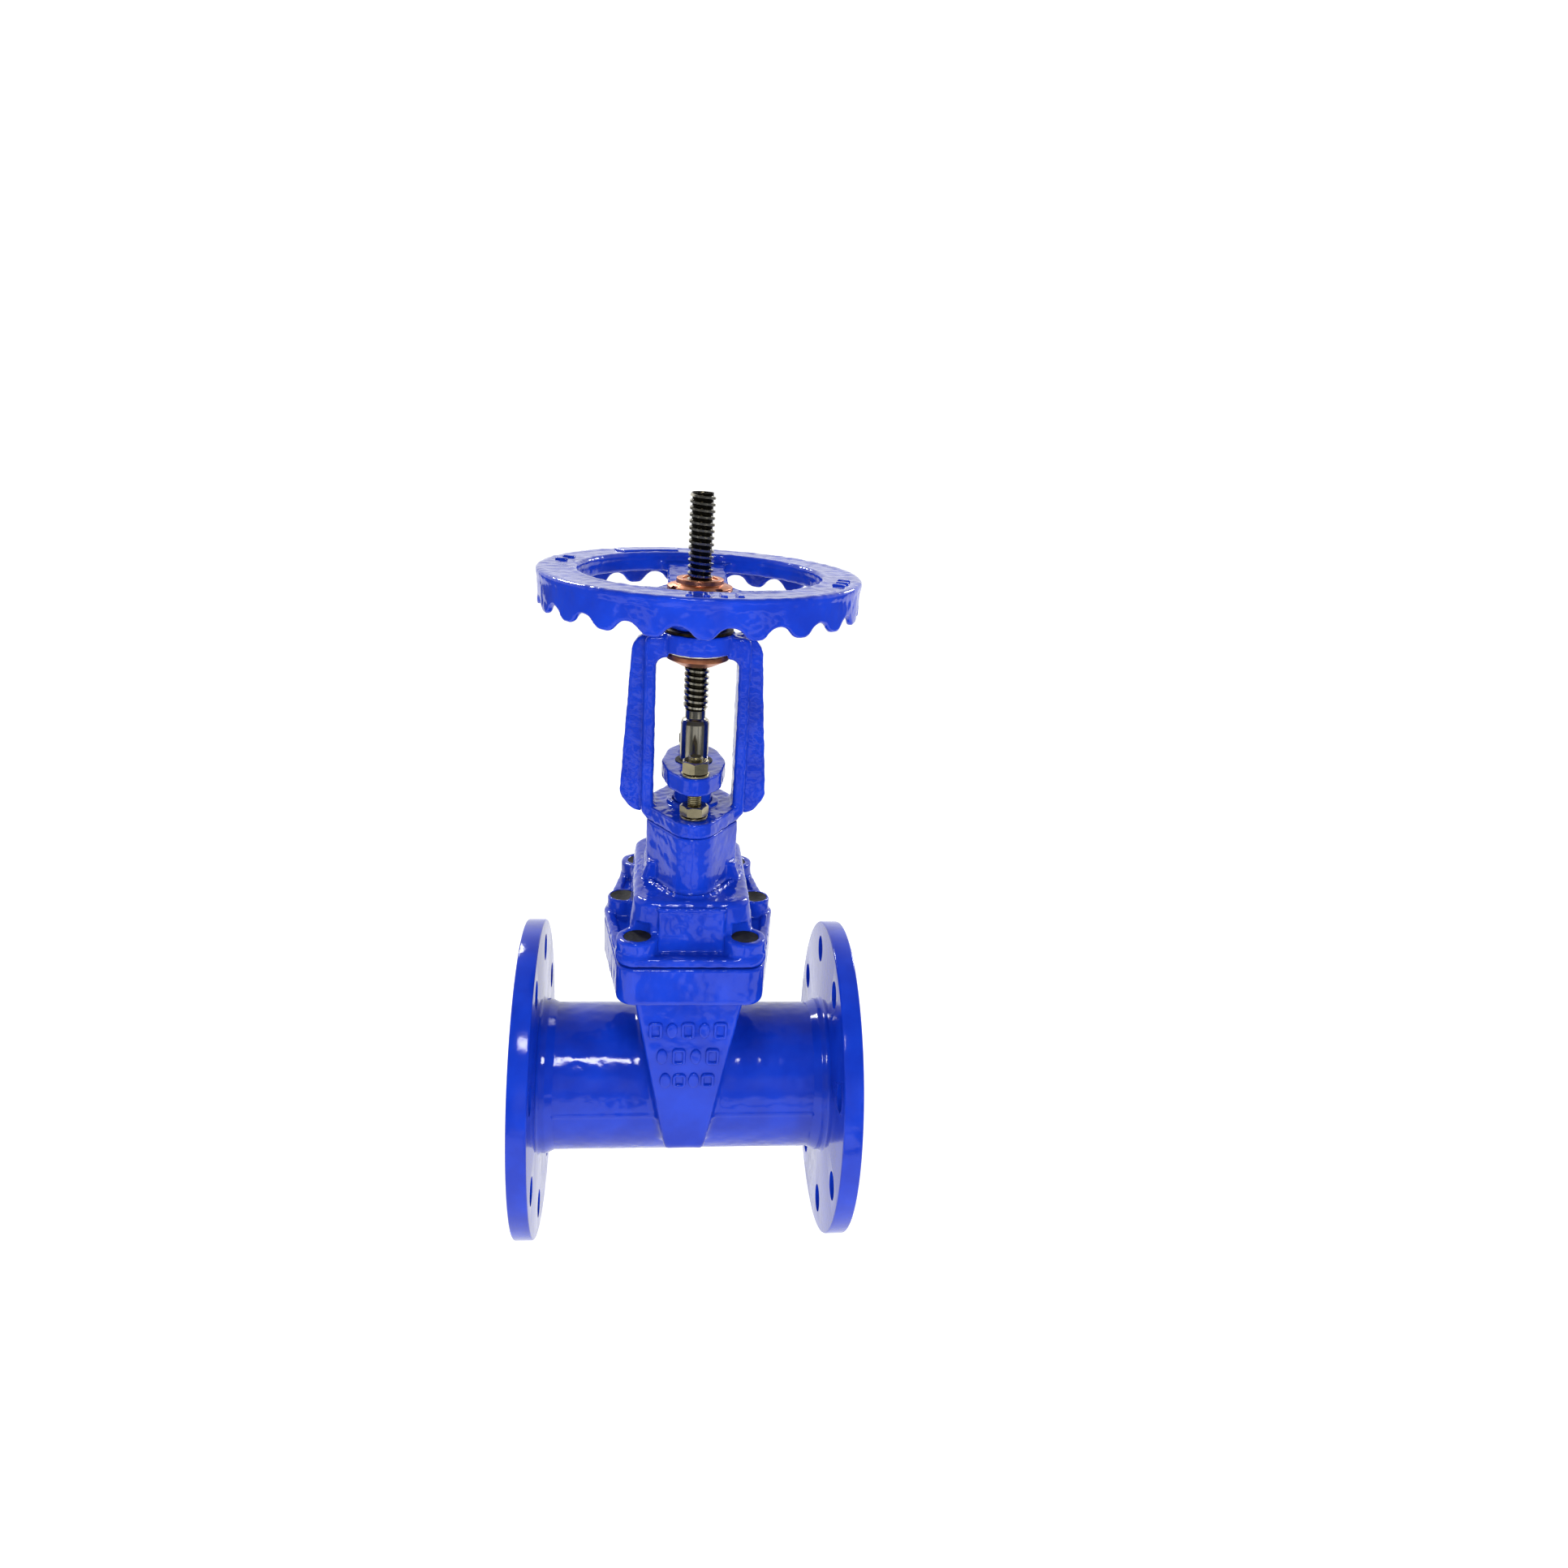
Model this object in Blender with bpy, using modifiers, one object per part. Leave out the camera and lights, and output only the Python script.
"""Flanged gate valve with an outside screw, a yoke and a rising stem.

The pipe runs along X, the stem rises along Z and the valve stands on its two round
flanges. Everything is placed by its height above the pipe's centre line, under three
empties on the stem's axis: one for the fixed parts, one for what turns with the
handwheel, and one for the stem and its wedge.
"""

import math

import bmesh
import bpy
from mathutils import Matrix

MM = 0.001

# Pipe ends, in metres: nominal bore 100, flanges to PN16.
FLANGE_R = 110 * MM
FLANGE_BACK_X = 99.5 * MM
FLANGE_FACE_X = 112.5 * MM
RAISED_FACE_R = 78 * MM
RAISED_FACE_X = 114.5 * MM
PIPE_R = 51 * MM
BORE_R = 45 * MM
HUB_R = 55 * MM
HUB_X = 90 * MM
HUB_CONE = 6 * MM
FLANGE_HOLE_R = 9.5 * MM
FLANGE_HOLE_PITCH_R = 90 * MM
FLANGE_HOLES = 8
PIPE_SIDES = 40
PAST_END = 120 * MM

# Wedge housing of the body, and the joint with the bonnet.
NOSE_Y = 64 * MM
NOSE_BOTTOM = -21 * MM
NOSE_BOTTOM_HALF = 12.3 * MM
NOSE_TOP_HALF = 35.5 * MM
NOSE_TOP = 110 * MM
NOSE_FILLET = 9 * MM
BODY_FLANGE_BOTTOM = 98 * MM
BODY_TOP = 124 * MM
CAVITY_BOTTOM = -12 * MM
CAVITY_BOTTOM_HALF = 9 * MM
CAVITY_TOP_HALF = 33 * MM
CAVITY_Y = 47 * MM
GUIDE_Y = 56 * MM
GUIDE_BOTTOM = -11.4 * MM
GUIDE_BOTTOM_HALF = 8.2 * MM
GUIDE_TOP_HALF = 13 * MM
TAP_R = 5.3 * MM
TAP_BOTTOM = 105 * MM
BOSS_CORNER = (34 * MM, 61.5 * MM)
BOSS_SIDE_X = 44.5 * MM
CORNER_BOSS_R = 14.5 * MM
SIDE_BOSS_R = 12 * MM

# Bonnet.
BONNET_BOTTOM = 126 * MM
BONNET_PLATE_TOP = 131 * MM
BOSS_TOP = 141 * MM
DOME_X = 36 * MM
DOME_Y = 58 * MM
DOME_TOP = 161 * MM
SHOULDER_X = 33 * MM
SHOULDER_Y = 20 * MM
SHOULDER_TOP = 173 * MM
NECK_TOP = 199.5 * MM
BONNET_CAVITY_X = 27 * MM
BONNET_GUIDE_Y = 53 * MM
BONNET_CAVITY_TOP = 152 * MM
SEAT_POCKET_R = 15.3 * MM
SEAT_POCKET_TOP = 168 * MM
STEM_HOLE_R = 9.9 * MM
PACKING_R = 12.9 * MM
PACKING_BOTTOM = 172 * MM
PAD_HALF = 22 * MM
PAD_HEIGHT = 1.6 * MM
PAD_BOTTOM = 129.5 * MM
PAD_TOP = 157.5 * MM
BOLT_RECESS_R = 9 * MM
BOLT_HOLE_R = 5.7 * MM
BOLT_HEAD_R = 8 * MM
BOLT_HEAD_HIGH = 7 * MM
BOLT_R = 5 * MM
BOLT_END = 107 * MM
SEAL_HIGH = 1.8 * MM

# Yoke.
YOKE_BOTTOM = 199.8 * MM
YOKE_PLATE_TOP = 209.3 * MM
NOSE_R = 14.5 * MM
NECK_HALF = 29.7 * MM
ARM_INNER = 26 * MM
ARM_OUTER = 33.5 * MM
ARM_Y = 12 * MM
ARM_LOW = 202 * MM
WEB_Y = 4.2 * MM
WEB_BOTTOM_X = 47.3 * MM
WEB_TOP_X = 41.8 * MM
YOKE_TOP = 321.8 * MM
YOKE_COLLAR_R = 17 * MM
WINDOW_TOP = 308 * MM
RING_R = 23.5 * MM
RING_BOTTOM = 311.4 * MM
RING_TOP = 323.4 * MM

# Gland and its studs.
STUD_Y = 31 * MM
STUD_R = 4.5 * MM
STUD_BOTTOM = 181.5 * MM
STUD_TOP = 250.5 * MM
WASHER_R = 8.9 * MM
WASHER_HIGH = 1.5 * MM
GLAND_BOTTOM = 226.5 * MM
GLAND_TOP = 237.8 * MM
GLAND_CIRCLES = [(0, 20.8 * MM), (18 * MM, 17.5 * MM), (29 * MM, 11.5 * MM)]
FOLLOWER_R = 12.5 * MM
FOLLOWER_BOTTOM = 196.8 * MM
WIPER_HIGH = 3.9 * MM
BASE_RING_HIGH = 3.7 * MM
PACKING_RINGS = 4
PACKING_HIGH = 4.8 * MM
BUSH_HIGH = 11.2 * MM
NUT_FLATS_R = 8 * MM

# Stem and nut: trapezoidal thread, 16 mm outside and 4 mm lead.
THREAD_R = 8 * MM
STEM_R = 9.3 * MM
STEM_NECK_R = 6.6 * MM
STEM_TOP = 409 * MM
STEM_SHOULDER = 266 * MM
THREAD_BOTTOM = 273 * MM
NUT_SLEEVE_R = 13.3 * MM
NUT_FLANGE_R = 20.5 * MM
SLEEVE_TOP = 356 * MM
RUNNING_GAP = 0.3 * MM
KEY_HALF = 2 * MM
KEY_BOTTOM = 330 * MM
KEY_TOP = 348 * MM
SLEEVE_SEAT = 349.8 * MM
SLEEVE_THREAD_R = 10.8 * MM
SLEEVE_LOW = 302 * MM
NUT_FLANGE_TOP = 309.9 * MM

# Handwheel.
WHEEL_R = 99.5 * MM
WHEEL_INNER_R = 76 * MM
WHEEL_TOP = 361.5 * MM
WHEEL_BOTTOM = 338.5 * MM
WHEEL_WALL = 4 * MM
INNER_WALL_BOTTOM = 350 * MM
WHEEL_HUB_R = 19 * MM
WHEEL_PLATE_R = 25 * MM
WHEEL_HUB_BOTTOM = 326 * MM
WHEEL_HUB_TOP = 349.5 * MM
LOBES = 21
LOBE_CUT_R = 9.5 * MM
SPOKES = 3
SPOKE_HALF = 19.5 * MM
SPOKE_BOTTOM = 338.5 * MM
SPOKE_TOP = 345 * MM
SPOKE_RISE = 0.15

# Wedge, drawn 58 mm above its closed place; it closes on the bottom of the bore.
LIFT = 58 * MM
WEDGE_R = 44.6 * MM
WEDGE_TOP = 98 * MM
WEDGE_BOTTOM_HALF = 8.4 * MM
WEDGE_TAPER = 0.1776
RUBBER = 3 * MM
HUB_TOP = 115 * MM

BLUE = (0.016, 0.045, 0.66)
PARTS = "gate_valve"
CUTTERS = "gate_valve_tools"


# ---------------------------------------------------------------- scene helpers

def clear_scene():
    for obj in list(bpy.data.objects):
        bpy.data.objects.remove(obj, do_unlink=True)


def make_collection(name):
    collection = bpy.data.collections.new(name)
    bpy.context.scene.collection.children.link(collection)
    return collection


def make_empty(name, height):
    empty = bpy.data.objects.new(name, None)
    empty.location = (0, 0, height)
    bpy.data.collections[PARTS].objects.link(empty)
    return empty


def make_material(name, colour, roughness, metallic):
    material = bpy.data.materials.new(name)
    material.use_nodes = True
    shader = material.node_tree.nodes["Principled BSDF"]
    shader.inputs["Base Color"].default_value = (*colour, 1)
    shader.inputs["Roughness"].default_value = roughness
    shader.inputs["Metallic"].default_value = metallic
    return material


def place(obj, collection, parent):
    """Links an object and hangs it on an empty, in the empty's own frame."""
    bpy.data.collections[collection].objects.link(obj)
    obj.parent = parent
    return obj


def part(name, mesh, finish, parent):
    mesh.materials.clear()
    mesh.materials.append(finish)
    mesh.shade_smooth()
    mesh.set_sharp_from_angle(angle=math.radians(32))
    mesh.name = name
    return place(bpy.data.objects.new(name, mesh), PARTS, parent)


def tool(name, mesh, parent):
    obj = place(bpy.data.objects.new(name, mesh), CUTTERS, parent)
    obj.hide_render = True
    obj.display_type = "WIRE"
    return obj


def combine(target, tools, operation):
    """Adds one exact Boolean for each tool mesh."""
    for index, mesh in enumerate(tools):
        helper = tool(f"{target.name}_{operation.lower()}_{index}", mesh, target.parent)
        modifier = target.modifiers.new(helper.name, "BOOLEAN")
        modifier.operation = operation
        modifier.solver = "EXACT"
        modifier.object = helper


def join(target, *tools):
    combine(target, tools, "UNION")


def cut(target, *tools):
    combine(target, tools, "DIFFERENCE")


# ---------------------------------------------------------------- shape helpers

def to_mesh(bm, name):
    bmesh.ops.recalc_face_normals(bm, faces=bm.faces)
    mesh = bpy.data.meshes.new(name)
    bm.to_mesh(mesh)
    bm.free()
    return mesh


def rod(radius, low, high, x=0.0, y=0.0, sides=20):
    """An upright cylinder."""
    bm = bmesh.new()
    move = Matrix.Translation((x, y, (low + high) / 2))
    bmesh.ops.create_cone(
        bm, cap_ends=True, segments=sides, radius1=radius, radius2=radius,
        depth=high - low, matrix=move,
    )
    return to_mesh(bm, "rod")


def rods(centres, radius, low, high, sides=16):
    """Several separate upright cylinders in one tool mesh."""
    bm = bmesh.new()
    for x, y in centres:
        move = Matrix.Translation((x, y, (low + high) / 2))
        bmesh.ops.create_cone(
            bm, cap_ends=True, segments=sides, radius1=radius, radius2=radius,
            depth=high - low, matrix=move,
        )
    return to_mesh(bm, "rods")


def block(x, y, z):
    """A box from three (low, high) ranges."""
    bm = bmesh.new()
    bmesh.ops.create_cube(bm, size=1)
    for vert in bm.verts:
        for axis, (low, high) in enumerate((x, y, z)):
            vert.co[axis] = low if vert.co[axis] < 0 else high
    return to_mesh(bm, "block")


def turned(profile, sides=32, along_x=False):
    """Turns a (radius, height) profile, listed top first down its outer side.

    A profile that starts and ends on the axis makes a solid; any other closes on itself.
    """
    bm = bmesh.new()
    verts = [bm.verts.new((radius, 0, height)) for radius, height in profile]
    for before, after in zip(verts, verts[1:]):
        bm.edges.new((before, after))
    if profile[-1][0] > 0:
        bm.edges.new((verts[-1], verts[0]))
    mesh = bpy.data.meshes.new("profile")
    bm.to_mesh(mesh)
    bm.free()
    guide = bpy.data.objects.new("turned_profile", mesh)
    bpy.context.scene.collection.objects.link(guide)
    screw = guide.modifiers.new("turn", "SCREW")
    screw.steps = sides
    screw.render_steps = sides
    screw.use_merge_vertices = True
    screw.merge_threshold = 0.00001
    result = settle(guide)
    if along_x:
        result.transform(Matrix.Rotation(math.pi / 2, 4, "Y"))
    return result


def settle(guide):
    """Takes the evaluated mesh of a helper object and removes the helper."""
    bpy.context.view_layer.update()
    graph = bpy.context.evaluated_depsgraph_get()
    mesh = bpy.data.meshes.new_from_object(guide.evaluated_get(graph))
    bpy.data.objects.remove(guide, do_unlink=True)
    bm = bmesh.new()
    bm.from_mesh(mesh)
    bmesh.ops.remove_doubles(bm, verts=bm.verts, dist=0.000005)
    bmesh.ops.recalc_face_normals(bm, faces=bm.faces)
    bm.to_mesh(mesh)
    bm.free()
    return mesh


AXIS_TURNS = {
    "Z": Matrix.Identity(4),
    "Y": Matrix.Rotation(math.pi / 2, 4, "X"),
    "X": Matrix(((0, 0, 1, 0), (1, 0, 0, 0), (0, 1, 0, 0), (0, 0, 0, 1))),
}


def prism(outline, low, high, axis="Z"):
    """Extrudes a flat outline from low to high: (x, y) along Z, (x, z) along Y, (y, z) along X."""
    curve = bpy.data.curves.new("outline", "CURVE")
    curve.dimensions = "2D"
    curve.fill_mode = "BOTH"
    curve.extrude = (high - low) / 2
    spline = curve.splines.new("POLY")
    spline.points.add(len(outline) - 1)
    for point, (a, b) in zip(spline.points, outline):
        point.co = (a, b, 0, 1)
    spline.use_cyclic_u = True
    guide = bpy.data.objects.new("outline_guide", curve)
    bpy.context.scene.collection.objects.link(guide)
    mesh = settle(guide)
    middle = (low + high) / 2
    mesh.transform(Matrix.Translation((0, 0, -middle if axis == "Y" else middle)))
    mesh.transform(AXIS_TURNS[axis])
    return mesh


def hull(circles, steps=24):
    """The tight outline round some (x, y, radius) circles, anticlockwise."""
    points = set()
    for x, y, radius in circles:
        for step in range(steps):
            angle = 2 * math.pi * step / steps
            point = (x + radius * math.cos(angle), y + radius * math.sin(angle))
            points.add((round(point[0], 7), round(point[1], 7)))
    ordered = sorted(points)

    def half(sequence):
        chain = []
        for p in sequence:
            while len(chain) > 1 and turn(chain[-2], chain[-1], p) <= 1e-10:
                chain.pop()
            chain.append(p)
        return chain[:-1]

    return half(ordered) + half(reversed(ordered))


def turn(a, b, c):
    return (b[0] - a[0]) * (c[1] - a[1]) - (b[1] - a[1]) * (c[0] - a[0])


def rounded(corners, steps=4):
    """A polygon of (a, b, radius) corners with each corner drawn as an arc."""
    outline = []
    count = len(corners)
    for index, (px, py, radius) in enumerate(corners):
        if radius == 0:
            outline.append((px, py))
            continue
        before = corners[index - 1]
        after = corners[(index + 1) % count]
        back = unit(before[0] - px, before[1] - py)
        ahead = unit(after[0] - px, after[1] - py)
        half = math.acos(back[0] * ahead[0] + back[1] * ahead[1]) / 2
        reach = radius / math.tan(half)
        middle = unit(back[0] + ahead[0], back[1] + ahead[1])
        centre = (
            px + middle[0] * radius / math.sin(half),
            py + middle[1] * radius / math.sin(half),
        )
        start = math.atan2(py + back[1] * reach - centre[1], px + back[0] * reach - centre[0])
        end = math.atan2(py + ahead[1] * reach - centre[1], px + ahead[0] * reach - centre[0])
        sweep = (end - start + math.pi) % (2 * math.pi) - math.pi
        for step in range(steps + 1):
            angle = start + sweep * step / steps
            outline.append((centre[0] + radius * math.cos(angle), centre[1] + radius * math.sin(angle)))
    return outline


def unit(x, y):
    length = math.hypot(x, y)
    return x / length, y / length


def ring_of(count, radius, first_angle=0.0):
    """Evenly spaced points on a circle."""
    angles = [first_angle + 2 * math.pi * index / count for index in range(count)]
    return [(radius * math.cos(angle), radius * math.sin(angle)) for angle in angles]


def hexagon(radius_to_flat):
    """A hexagon with a flat facing front and back."""
    corner = radius_to_flat / math.cos(math.pi / 6)
    return ring_of(6, corner)


def boss_centres():
    x, y = BOSS_CORNER
    return [(-x, -y), (x, -y), (-BOSS_SIDE_X, 0), (BOSS_SIDE_X, 0), (-x, y), (x, y)]


def joint_outline(inset=0.0):
    """The outline shared by the body flange, the gasket and the bonnet flange."""
    circles = []
    for x, y in boss_centres():
        radius = SIDE_BOSS_R if y == 0 else CORNER_BOSS_R - 1.5 * MM
        circles.append((x, y, radius - inset))
    return hull(circles)


def neck_outline():
    """The pointed outline shared by the top of the bonnet and the foot of the yoke."""
    side = NECK_HALF - 4 * MM
    circles = [(0, -STUD_Y, NOSE_R), (0, STUD_Y, NOSE_R)]
    for x in (-side, side):
        circles += [(x, -9 * MM, 4 * MM), (x, 9 * MM, 4 * MM)]
    return hull(circles)


# ---------------------------------------------------------------- fixed castings

def wedge_space(bottom_half, top_half, low, high):
    """The tapering (x, z) outline of the space that the wedge rises through."""
    return [(-bottom_half, low), (bottom_half, low), (top_half, high), (-top_half, high)]


def make_body(finish, parent):
    profile = [
        (RAISED_FACE_R, RAISED_FACE_X), (RAISED_FACE_R, FLANGE_FACE_X),
        (FLANGE_R, FLANGE_FACE_X), (FLANGE_R, FLANGE_BACK_X),
        (HUB_R, FLANGE_BACK_X), (HUB_R, HUB_X), (PIPE_R, HUB_X - HUB_CONE),
    ]
    mirrored = [(radius, -height) for radius, height in reversed(profile)]
    whole = [(0, RAISED_FACE_X)] + profile + mirrored + [(0, -RAISED_FACE_X)]
    pipe = turned(whole, sides=PIPE_SIDES, along_x=True)
    body = part("body", pipe, finish, parent)

    nose_side = [
        (-NOSE_BOTTOM_HALF, NOSE_BOTTOM), (NOSE_BOTTOM_HALF, NOSE_BOTTOM),
        (NOSE_TOP_HALF, NOSE_TOP), (-NOSE_TOP_HALF, NOSE_TOP),
    ]
    nose_end = rounded([
        (-NOSE_Y, NOSE_BOTTOM, NOSE_FILLET), (NOSE_Y, NOSE_BOTTOM, NOSE_FILLET),
        (NOSE_Y, NOSE_TOP + 2 * MM, 0), (-NOSE_Y, NOSE_TOP + 2 * MM, 0),
    ])
    nose = tool("body_nose", prism(nose_side, -80 * MM, 80 * MM, "Y"), parent)
    combine(nose, [prism(nose_end, -60 * MM, 60 * MM, "X")], "INTERSECT")
    modifier = body.modifiers.new("nose", "BOOLEAN")
    modifier.operation = "UNION"
    modifier.object = nose
    join(body, prism(joint_outline(), BODY_FLANGE_BOTTOM, BODY_TOP))

    main = prism(
        wedge_space(CAVITY_BOTTOM_HALF, CAVITY_TOP_HALF, CAVITY_BOTTOM, BODY_TOP + 2 * MM),
        -CAVITY_Y, CAVITY_Y, "Y",
    )
    guides = prism(
        wedge_space(GUIDE_BOTTOM_HALF, GUIDE_TOP_HALF, GUIDE_BOTTOM, BODY_TOP + 3 * MM),
        -GUIDE_Y, GUIDE_Y, "Y",
    )
    bore_tool = rod(BORE_R, -PAST_END, PAST_END, sides=PIPE_SIDES)
    bore_tool.transform(Matrix.Rotation(math.pi / 2, 4, "Y"))
    holes = ring_of(FLANGE_HOLES, FLANGE_HOLE_PITCH_R, math.pi / FLANGE_HOLES)
    flange_tools = []
    behind = HUB_X + 5 * MM
    for low, high in ((-PAST_END, -behind), (behind, PAST_END)):
        drilled = rods(holes, FLANGE_HOLE_R, low, high, 10)
        drilled.transform(Matrix.Rotation(math.pi / 2, 4, "Y"))
        flange_tools.append(drilled)
    taps = rods(boss_centres(), TAP_R, TAP_BOTTOM, BODY_TOP + 2 * MM, 16)
    cut(body, main, guides, bore_tool, *flange_tools, taps)
    return body


def make_gasket(finish, parent):
    gasket = part(
        "bonnet_gasket", prism(joint_outline(3 * MM), BODY_TOP + 0.3 * MM, BONNET_BOTTOM - 0.3 * MM),
        finish, parent,
    )
    through = (BODY_TOP - 4 * MM, BONNET_BOTTOM + 4 * MM)
    clear = 0.4 * MM
    x = CAVITY_TOP_HALF + clear
    y = CAVITY_Y + clear
    wide = block((-x, x), (-y, y), through)
    x = GUIDE_TOP_HALF + clear
    y = GUIDE_Y + clear
    channel = block((-x, x), (-y, y), through)
    cut(gasket, wide, channel, rods(boss_centres(), BOLT_HOLE_R, *through, 16))


def make_bonnet(finish, parent):
    bonnet = part("bonnet", prism(joint_outline(), BONNET_BOTTOM, BONNET_PLATE_TOP), finish, parent)
    sunk = BONNET_PLATE_TOP - 3 * MM
    draft = 0.6 * MM
    dome_end = rounded([
        (-DOME_Y - draft, sunk, 0), (DOME_Y + draft, sunk, 0),
        (DOME_Y, DOME_TOP, 3 * MM), (-DOME_Y, DOME_TOP, 3 * MM),
    ])
    corners = boss_centres()
    x, y = BOSS_CORNER
    join(
        bonnet,
        prism(dome_end, -DOME_X, DOME_X, "X"),
        rods([c for c in corners if c[1] != 0], CORNER_BOSS_R - 1.2 * MM, sunk, BOSS_TOP),
        rods([c for c in corners if c[1] == 0], SIDE_BOSS_R - 0.2 * MM, sunk, BOSS_TOP),
        block(
            (-PAD_HALF, PAD_HALF), (-DOME_Y - PAD_HEIGHT, DOME_Y + PAD_HEIGHT), (PAD_BOTTOM, PAD_TOP)
        ),
        block((-SHOULDER_X, SHOULDER_X), (-SHOULDER_Y, SHOULDER_Y), (DOME_TOP - 3 * MM, SHOULDER_TOP)),
        prism(neck_outline(), DOME_TOP - 3 * MM, NECK_TOP),
    )
    cavity = block(
        (-BONNET_CAVITY_X, BONNET_CAVITY_X), (-CAVITY_Y, CAVITY_Y),
        (BONNET_BOTTOM - 6 * MM, BONNET_CAVITY_TOP),
    )
    guides = block(
        (-GUIDE_TOP_HALF, GUIDE_TOP_HALF), (-BONNET_GUIDE_Y, BONNET_GUIDE_Y),
        (BONNET_BOTTOM - 7 * MM, BONNET_CAVITY_TOP - 1 * MM),
    )
    cut(
        bonnet, cavity, guides,
        rod(SEAT_POCKET_R, BONNET_CAVITY_TOP - 7 * MM, SEAT_POCKET_TOP),
        rod(STEM_HOLE_R, BONNET_CAVITY_TOP, PACKING_BOTTOM + 3 * MM),
        rod(PACKING_R, PACKING_BOTTOM, NECK_TOP + 5 * MM),
        rods(
            [(0, -STUD_Y), (0, STUD_Y)], STUD_R + RUNNING_GAP, STUD_BOTTOM - 1.5 * MM, NECK_TOP + 5 * MM, 16
        ),
        rods(corners, BOLT_HOLE_R, BONNET_BOTTOM - 6 * MM, BOSS_TOP + 9 * MM, 16),
        rods(corners, BOLT_RECESS_R, BONNET_PLATE_TOP, BOSS_TOP + 9 * MM),
    )
    return bonnet


def make_bonnet_bolts(steel, seal, parent):
    for index, (x, y) in enumerate(boss_centres(), start=1):
        head_low = BONNET_PLATE_TOP + RUNNING_GAP
        head_high = head_low + BOLT_HEAD_HIGH
        bolt = part(f"bonnet_bolt_{index}", rod(BOLT_HEAD_R, head_low, head_high, x, y), steel, parent)
        join(bolt, rod(BOLT_R, BOLT_END, head_low + 2 * MM, x, y, 16))
        socket = prism(hexagon(4 * MM), head_high - 3.6 * MM, head_high + 2 * MM)
        socket.transform(Matrix.Translation((x, y, 0)))
        cut(bolt, socket)
        low = head_high + RUNNING_GAP
        radius = BOLT_RECESS_R - RUNNING_GAP
        part(f"bolt_seal_{index}", rod(radius, low, low + SEAL_HIGH, x, y), seal, parent)


def arm_web(side):
    """The outline of one arm's outer rib, in x and z."""
    points = [
        (ARM_INNER + 3 * MM, ARM_LOW + 1 * MM, 0), (WEB_BOTTOM_X - 7.3 * MM, ARM_LOW + 1 * MM, 9 * MM),
        (WEB_BOTTOM_X, ARM_LOW + 12 * MM, 8 * MM), (WEB_TOP_X, YOKE_TOP, 9 * MM),
        (ARM_INNER + 3 * MM, YOKE_TOP, 0),
    ]
    return rounded([(side * a, b, radius) for a, b, radius in points])


def make_yoke(finish, parent):
    yoke = part("yoke", prism(neck_outline(), YOKE_BOTTOM, YOKE_PLATE_TOP), finish, parent)
    frame = rounded([
        (-ARM_OUTER, ARM_LOW, 5 * MM), (ARM_OUTER, ARM_LOW, 5 * MM),
        (ARM_OUTER, YOKE_TOP, 4 * MM), (-ARM_OUTER, YOKE_TOP, 4 * MM),
    ])
    window = rounded([
        (-ARM_INNER, YOKE_PLATE_TOP, 1 * MM), (ARM_INNER, YOKE_PLATE_TOP, 1 * MM),
        (ARM_INNER, WINDOW_TOP, 6 * MM), (-ARM_INNER, WINDOW_TOP, 6 * MM),
    ])
    arms = tool("yoke_arms", prism(frame, -ARM_Y, ARM_Y, "Y"), parent)
    cut(arms, prism(window, -20 * MM, 20 * MM, "Y"))
    modifier = yoke.modifiers.new("arms", "BOOLEAN")
    modifier.operation = "UNION"
    modifier.object = arms
    join(
        yoke,
        prism(arm_web(-1), -WEB_Y, WEB_Y, "Y"), prism(arm_web(1), -WEB_Y, WEB_Y, "Y"),
        rod(RING_R, RING_BOTTOM, RING_TOP, sides=40),
        rod(YOKE_COLLAR_R, YOKE_PLATE_TOP - 4 * MM, YOKE_PLATE_TOP + 2.2 * MM, sides=32),
    )
    below_ring = rod(RING_R + 1 * MM, WINDOW_TOP - 8 * MM, RING_BOTTOM, sides=40)
    foot = (YOKE_BOTTOM - 9 * MM, YOKE_PLATE_TOP + 9 * MM)
    cut(
        yoke, below_ring,
        rod(NUT_SLEEVE_R + RUNNING_GAP, WINDOW_TOP - 13 * MM, RING_TOP + 7 * MM, sides=32),
        rod(FOLLOWER_R + 0.6 * MM, *foot, sides=32),
        rods([(0, -STUD_Y), (0, STUD_Y)], STUD_R + 0.6 * MM, *foot, 16),
    )
    return yoke


# ---------------------------------------------------------------- gland and packing

def ring(name, inner, outer, low, high, finish, parent, sides=20):
    profile = [(outer, high), (outer, low), (inner, low), (inner, high)]
    return part(name, turned(profile, sides), finish, parent)


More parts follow.
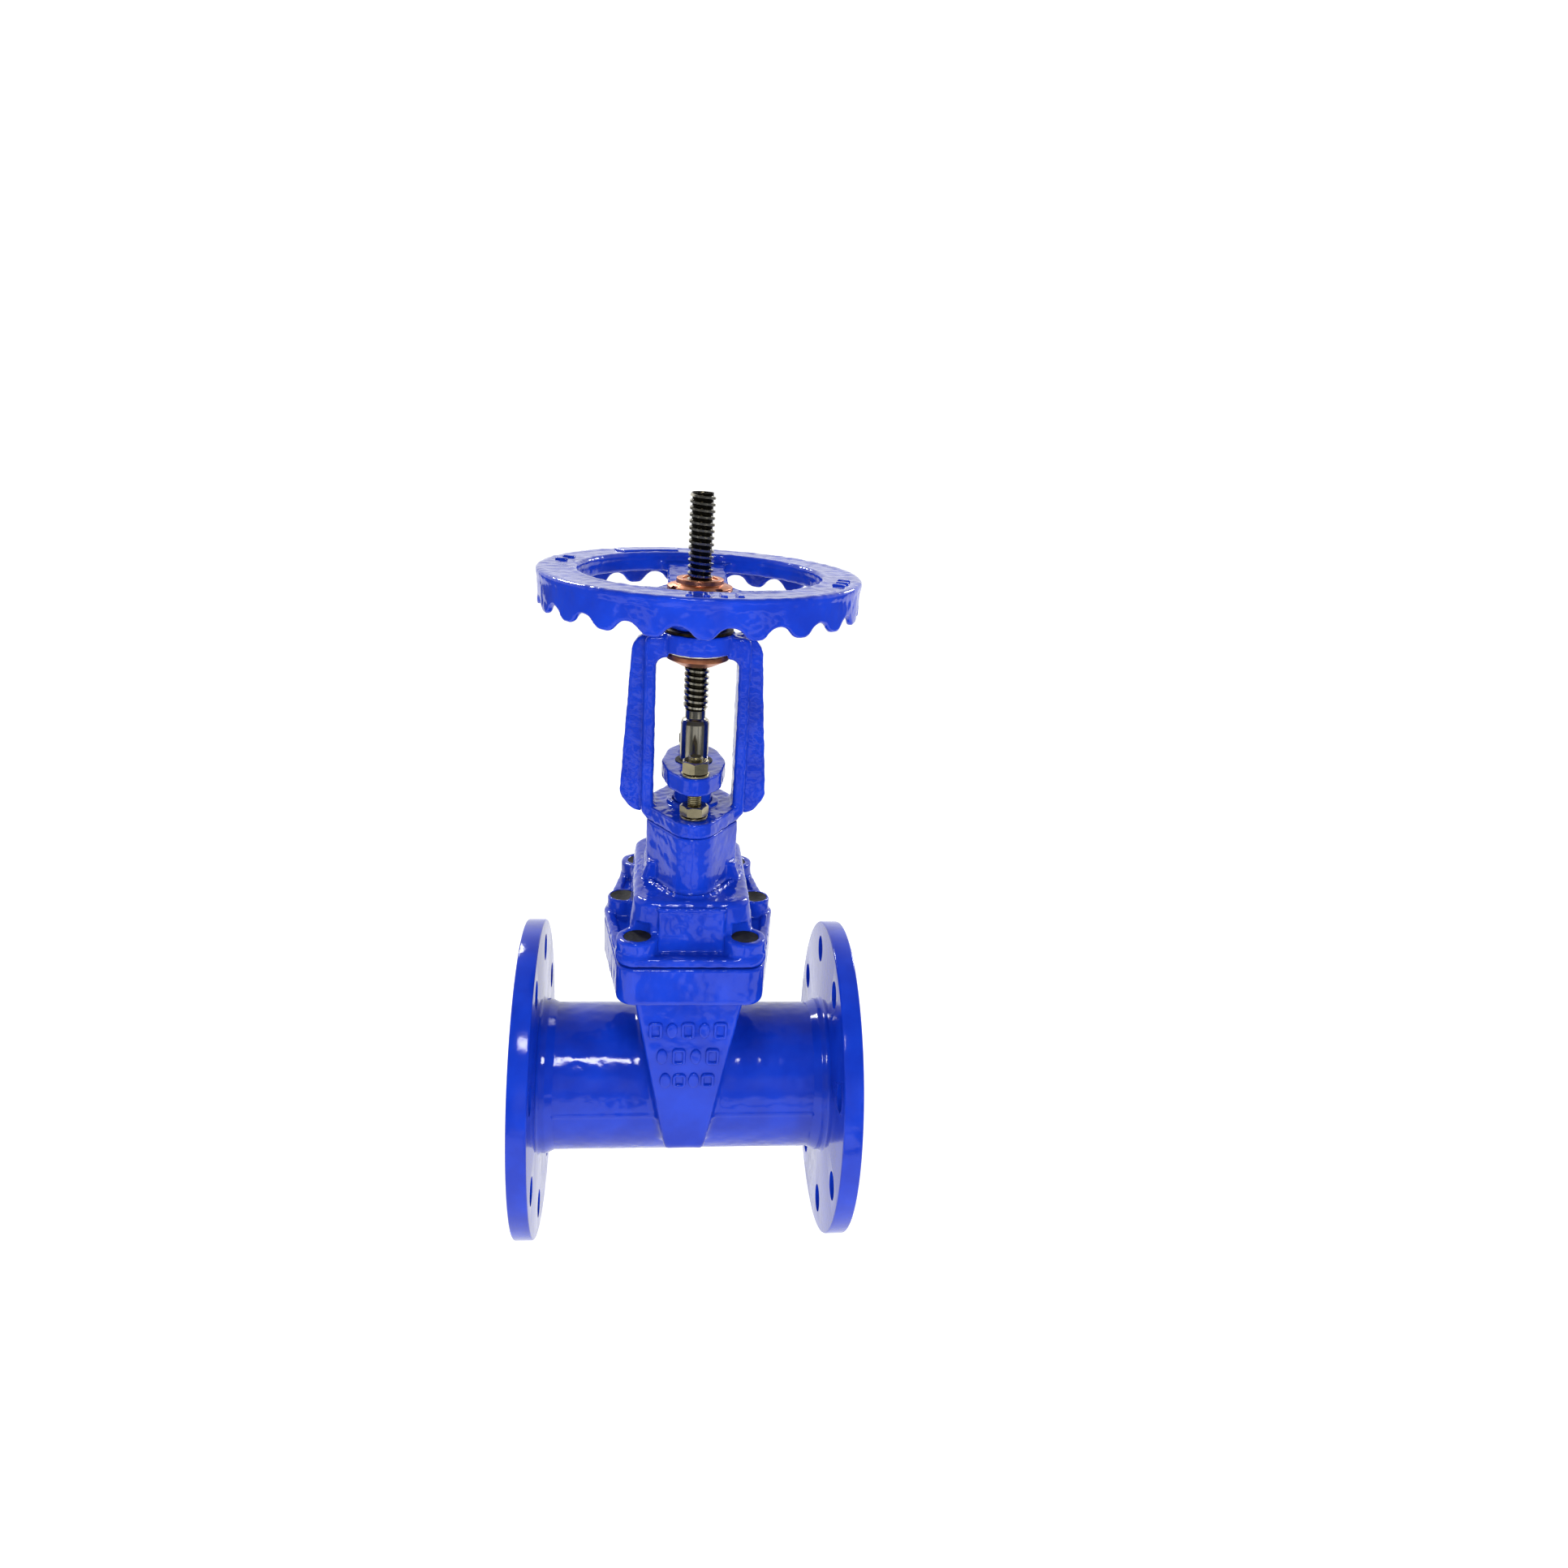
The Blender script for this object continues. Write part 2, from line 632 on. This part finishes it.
def make_gland(finishes, parent):
    outline = hull([(0, side * y, radius) for y, radius in GLAND_CIRCLES for side in (-1, 1)], 32)
    gland = part("gland", prism(outline, GLAND_BOTTOM, GLAND_TOP), finishes["epoxy"], parent)
    join(gland, rod(FOLLOWER_R, FOLLOWER_BOTTOM, GLAND_BOTTOM + 2 * MM, sides=24))
    inner = STEM_R + RUNNING_GAP
    above = GLAND_TOP + 7 * MM
    wiper_seat = GLAND_TOP - 3.6 * MM
    cut(
        gland,
        rod(inner, FOLLOWER_BOTTOM - 6 * MM, above, sides=32),
        rod(FOLLOWER_R, wiper_seat, above, sides=32),
        rods([(0, -STUD_Y), (0, STUD_Y)], STUD_R + 0.6 * MM, GLAND_BOTTOM - 6 * MM, above, 16),
    )
    low = wiper_seat + RUNNING_GAP
    ring("stem_wiper", inner, FOLLOWER_R - RUNNING_GAP, low, low + WIPER_HIGH, finishes["rubber"], parent)
    outer = PACKING_R - RUNNING_GAP
    low = PACKING_BOTTOM + RUNNING_GAP
    ring("packing_base_ring", inner, outer, low, low + BASE_RING_HIGH, finishes["brass"], parent)
    low += BASE_RING_HIGH + RUNNING_GAP
    for index in range(PACKING_RINGS):
        name = f"packing_ring_{index + 1}"
        ring(name, inner, outer, low, low + PACKING_HIGH, finishes["packing"], parent)
        low += PACKING_HIGH + RUNNING_GAP
    outer = SEAT_POCKET_R - RUNNING_GAP
    high = SEAT_POCKET_TOP - RUNNING_GAP
    ring("back_seat_bush", inner, outer, high - BUSH_HIGH, high, finishes["brass"], parent)


def make_nut(name, y, low, height, finish, parent):
    mesh = prism(hexagon(NUT_FLATS_R), low, low + height)
    mesh.transform(Matrix.Translation((0, y, 0)))
    nut = part(name, mesh, finish, parent)
    cut(nut, rod(STUD_R + RUNNING_GAP, low - 2 * MM, low + height + 2 * MM, 0, y, 16))


def make_washer(name, y, low, finish, parent):
    washer = part(name, rod(WASHER_R, low, low + WASHER_HIGH, 0, y), finish, parent)
    cut(washer, rod(STUD_R + RUNNING_GAP, low - 2 * MM, low + 4 * MM, 0, y, 16))


def make_studs(finish, parent):
    for end, y in (("front", -STUD_Y), ("rear", STUD_Y)):
        part(f"gland_stud_{end}", rod(STUD_R, STUD_BOTTOM, STUD_TOP, 0, y, 16), finish, parent)
        for place, seat, nut_high in (("yoke", YOKE_PLATE_TOP, 7 * MM), ("gland", GLAND_TOP, 8 * MM)):
            low = seat + RUNNING_GAP
            make_washer(f"{place}_washer_{end}", y, low, finish, parent)
            make_nut(f"{place}_nut_{end}", y, low + WASHER_HIGH + RUNNING_GAP, nut_high, finish, parent)


# ---------------------------------------------------------------- drive: turns about Z

def make_stem_nut(finishes, parent):
    inner = THREAD_R + RUNNING_GAP
    profile = [
        (SLEEVE_THREAD_R, SLEEVE_TOP), (SLEEVE_THREAD_R, SLEEVE_SEAT), (NUT_SLEEVE_R, SLEEVE_SEAT),
        (NUT_SLEEVE_R, NUT_FLANGE_TOP), (NUT_FLANGE_R, NUT_FLANGE_TOP),
        (NUT_FLANGE_R, NUT_FLANGE_TOP - 3.2 * MM), (11 * MM, SLEEVE_LOW), (inner, SLEEVE_LOW),
        (inner, SLEEVE_TOP),
    ]
    nut = part("stem_nut", turned(profile, 32), finishes["bronze"], parent)
    half = KEY_HALF + RUNNING_GAP
    cut(nut, block((-half, half), (-16 * MM, -11.2 * MM), (KEY_BOTTOM - RUNNING_GAP, SLEEVE_SEAT + 2 * MM)))
    key = block((-KEY_HALF, KEY_HALF), (-15.2 * MM, -11.5 * MM), (KEY_BOTTOM, KEY_TOP))
    part("wheel_key", key, finishes["steel"], parent)
    inner = NUT_SLEEVE_R + 0.4 * MM
    low = RING_TOP + RUNNING_GAP
    ring("thrust_washer_upper", inner, 22.3 * MM, low, low + 2 * MM, finishes["bronze"], parent)
    low = NUT_FLANGE_TOP + RUNNING_GAP
    ring("thrust_washer_lower", inner, 19.8 * MM, low, low + 0.9 * MM, finishes["nylon"], parent)
    lock = [
        (14.7 * MM, 357 * MM), (14.7 * MM, 353.6 * MM), (17.5 * MM, 353.3 * MM),
        (NUT_FLANGE_R, 352.4 * MM), (NUT_FLANGE_R, 349.9 * MM),
        (13.4 * MM, 349.9 * MM), (13.4 * MM, 350.1 * MM), (11.1 * MM, 350.1 * MM), (11.1 * MM, 357 * MM),
    ]
    part("wheel_lock_nut", turned(lock, 32), finishes["bronze"], parent)


def make_handwheel(finish, parent):
    inner_wall = WHEEL_INNER_R + 3.5 * MM
    skirt = WHEEL_R - WHEEL_WALL
    channel = [
        (WHEEL_R - 2 * MM, WHEEL_TOP), (WHEEL_R, WHEEL_TOP - 2 * MM), (WHEEL_R, WHEEL_BOTTOM),
        (skirt, WHEEL_BOTTOM), (skirt, WHEEL_TOP - WHEEL_WALL), (inner_wall, WHEEL_TOP - WHEEL_WALL),
        (inner_wall, INNER_WALL_BOTTOM), (WHEEL_INNER_R, INNER_WALL_BOTTOM),
        (WHEEL_INNER_R, WHEEL_TOP - 1 * MM), (WHEEL_INNER_R + 1 * MM, WHEEL_TOP),
    ]
    wheel = part("handwheel", turned(channel, 3 * LOBES), finish, parent)
    reach = WHEEL_INNER_R + 1.5 * MM
    edge = [
        (SPOKE_HALF, 12 * MM), (SPOKE_HALF, reach - 13 * MM),
        (SPOKE_HALF + 2 * MM, reach - 7 * MM), (SPOKE_HALF + 6 * MM, reach - 2 * MM),
        (SPOKE_HALF + 6 * MM, reach),
    ]
    spoke = edge + [(-x, y) for x, y in reversed(edge)]
    rise = Matrix.Identity(4)
    rise[2][1] = SPOKE_RISE
    for index in range(SPOKES):
        mesh = prism(spoke, SPOKE_BOTTOM, SPOKE_TOP)
        mesh.transform(Matrix.Rotation(2 * math.pi * index / SPOKES, 4, "Z") @ rise)
        join(wheel, mesh)
    join(
        wheel,
        rod(WHEEL_PLATE_R, SPOKE_BOTTOM + 0.7 * MM, WHEEL_HUB_TOP - RUNNING_GAP, sides=40),
        rod(WHEEL_HUB_R, WHEEL_HUB_BOTTOM, WHEEL_HUB_TOP, sides=32),
    )
    through = (WHEEL_HUB_BOTTOM - 6 * MM, WHEEL_HUB_TOP + 6 * MM)
    keyway = block((-KEY_HALF - RUNNING_GAP, KEY_HALF + RUNNING_GAP), (-15.5 * MM, -10 * MM), through)
    cut(wheel, rod(NUT_SLEEVE_R + RUNNING_GAP, *through, sides=32), keyway, lobe_cutters())


def lobe_cutters():
    """Short radial cylinders that leave the finger lobes along the skirt's lower edge."""
    bm = bmesh.new()
    height = WHEEL_BOTTOM - 2.6 * MM
    first = -math.pi / 2 + math.pi / LOBES
    for x, y in ring_of(LOBES, WHEEL_R - 2 * MM, first):
        angle = math.atan2(y, x)
        turn_out = Matrix.Rotation(angle, 4, "Z") @ Matrix.Rotation(math.pi / 2, 4, "Y")
        bmesh.ops.create_cone(
            bm, cap_ends=True, segments=14, radius1=LOBE_CUT_R, radius2=LOBE_CUT_R,
            depth=12 * MM, matrix=Matrix.Translation((x, y, height)) @ turn_out,
        )
    return to_mesh(bm, "lobe_cutters")


# ---------------------------------------------------------------- stem and wedge: rise along Z

def make_stem(finish, parent):
    profile = [
        (THREAD_R - 1.6 * MM, STEM_TOP), (THREAD_R, STEM_TOP - 1.6 * MM), (THREAD_R, THREAD_BOTTOM),
        (STEM_NECK_R, THREAD_BOTTOM - 1 * MM), (STEM_NECK_R, STEM_SHOULDER + 1 * MM),
        (STEM_R - 0.8 * MM, STEM_SHOULDER), (STEM_R, STEM_SHOULDER - 2.5 * MM),
        (STEM_R, 121 * MM), (13 * MM, 118.5 * MM), (13 * MM, 116 * MM), (STEM_R, 115.6 * MM),
        (STEM_R, 111 * MM), (THREAD_R, 110.3 * MM), (THREAD_R, 93 * MM), (0, 93 * MM),
    ]
    part("stem", turned([(0, STEM_TOP)] + profile, 24), finish, parent)


def wedge_mesh(inset, name, parent):
    """The tapering disc of the wedge, shrunk all round by inset."""
    low = -WEDGE_R + inset
    top = WEDGE_TOP - LIFT - inset
    narrow = WEDGE_BOTTOM_HALF - inset
    wide = WEDGE_BOTTOM_HALF + (top - CAVITY_BOTTOM) * WEDGE_TAPER - inset
    side = [
        (-narrow, low), (narrow, low), (narrow, CAVITY_BOTTOM),
        (wide, top), (-wide, top), (-narrow, CAVITY_BOTTOM),
    ]
    lifted = [(a, b + LIFT) for a, b in side]
    radius = WEDGE_R - inset
    end = [(radius, WEDGE_TOP - inset), (-radius, WEDGE_TOP - inset)]
    for step in range(25):
        angle = math.pi + math.pi * step / 24
        end.append((radius * math.cos(angle), LIFT + radius * math.sin(angle)))
    solid = tool(name, prism(lifted, -60 * MM, 60 * MM, "Y"), parent)
    combine(solid, [prism(end, -40 * MM, 40 * MM, "X")], "INTERSECT")
    return solid


def baked(helper):
    """The evaluated mesh of a tool object, in its parent's frame."""
    bpy.context.view_layer.update()
    graph = bpy.context.evaluated_depsgraph_get()
    return bpy.data.meshes.new_from_object(helper.evaluated_get(graph))


def make_wedge(finishes, parent):
    core = part("wedge_core", baked(wedge_mesh(RUBBER, "core_shape", parent)), finishes["iron"], parent)
    hub_x = 15.5 * MM
    hub_y = 17 * MM
    neck_y = hub_y - 0.5 * MM
    join(core, block((-11 * MM, 11 * MM), (-neck_y, neck_y), (80 * MM, HUB_TOP - 5.5 * MM)))
    join(core, block((-hub_x, hub_x), (-hub_y, hub_y), (WEDGE_TOP + 0.3 * MM, HUB_TOP)))
    cut(
        core,
        block((-20 * MM, 20 * MM), (-12.3 * MM, 12.3 * MM), (101 * MM, 110 * MM)),
        block((0, 20 * MM), (-10 * MM, 10 * MM), (109 * MM, 120 * MM)),
        rod(10 * MM, 109 * MM, 120 * MM, sides=24),
        rod(THREAD_R + 0.6 * MM, 91 * MM, 105 * MM, sides=24),
    )
    rubber = part("wedge_rubber", baked(wedge_mesh(0, "rubber_shape", parent)), finishes["rubber"], parent)
    slots = block((-2.8 * MM, 2.8 * MM), (-60 * MM, 60 * MM), (59.7 * MM, 90.3 * MM))
    neck = block((-11.3 * MM, 11.3 * MM), (-hub_y - 0.3 * MM, hub_y + 0.3 * MM), (80 * MM, 105 * MM))
    cut(rubber, baked(wedge_mesh(RUBBER - 0.3 * MM, "core_room", parent)), neck, slots)
    nut = part(
        "wedge_nut", block((-14 * MM, 14 * MM), (-12 * MM, 12 * MM), (101.3 * MM, 109.7 * MM)),
        finishes["brass"], parent,
    )
    cut(nut, rod(THREAD_R + RUNNING_GAP, 95 * MM, 115 * MM, sides=24))
    for end, side in (("front", -1), ("rear", 1)):
        faces = sorted((side * 44.9 * MM, side * 52.2 * MM))
        rib = sorted((side * 42 * MM, side * 46 * MM))
        shoe = part(
            f"wedge_shoe_{end}", block((-6.8 * MM, 6.8 * MM), faces, (50 * MM, 98 * MM)),
            finishes["nylon"], parent,
        )
        join(shoe, block((-2.5 * MM, 2.5 * MM), rib, (60 * MM, 90 * MM)))


# ---------------------------------------------------------------- assembly

def make_finishes():
    return {
        "epoxy": make_material("blue_epoxy", BLUE, 0.25, 0.0),
        "bronze": make_material("bronze", (0.62, 0.24, 0.12), 0.35, 1.0),
        "brass": make_material("brass", (0.70, 0.50, 0.20), 0.35, 1.0),
        "steel": make_material("plated_steel", (0.62, 0.56, 0.40), 0.3, 1.0),
        "stem": make_material("stem_steel", (0.30, 0.29, 0.25), 0.28, 1.0),
        "iron": make_material("ductile_iron", (0.12, 0.12, 0.12), 0.6, 1.0),
        "rubber": make_material("black_rubber", (0.02, 0.02, 0.02), 0.7, 0.0),
        "packing": make_material("graphite_packing", (0.05, 0.05, 0.05), 0.8, 0.0),
        "nylon": make_material("nylon", (0.75, 0.72, 0.62), 0.5, 0.0),
        "seal": make_material("bolt_seal", (0.03, 0.03, 0.022), 0.45, 0.0),
    }


def main():
    clear_scene()
    make_collection(PARTS)
    make_collection(CUTTERS)
    finishes = make_finishes()
    fixed = make_empty("pipe_axis", FLANGE_R)
    drive = make_empty("handwheel_axis", FLANGE_R)
    rising = make_empty("stem_axis", FLANGE_R)

    make_body(finishes["epoxy"], fixed)
    make_gasket(finishes["rubber"], fixed)
    make_bonnet(finishes["epoxy"], fixed)
    make_bonnet_bolts(finishes["steel"], finishes["seal"], fixed)
    make_yoke(finishes["epoxy"], fixed)
    make_gland(finishes, fixed)
    make_studs(finishes["steel"], fixed)
    make_stem_nut(finishes, drive)
    make_handwheel(finishes["epoxy"], drive)
    make_stem(finishes["stem"], rising)
    make_wedge(finishes, rising)


main()
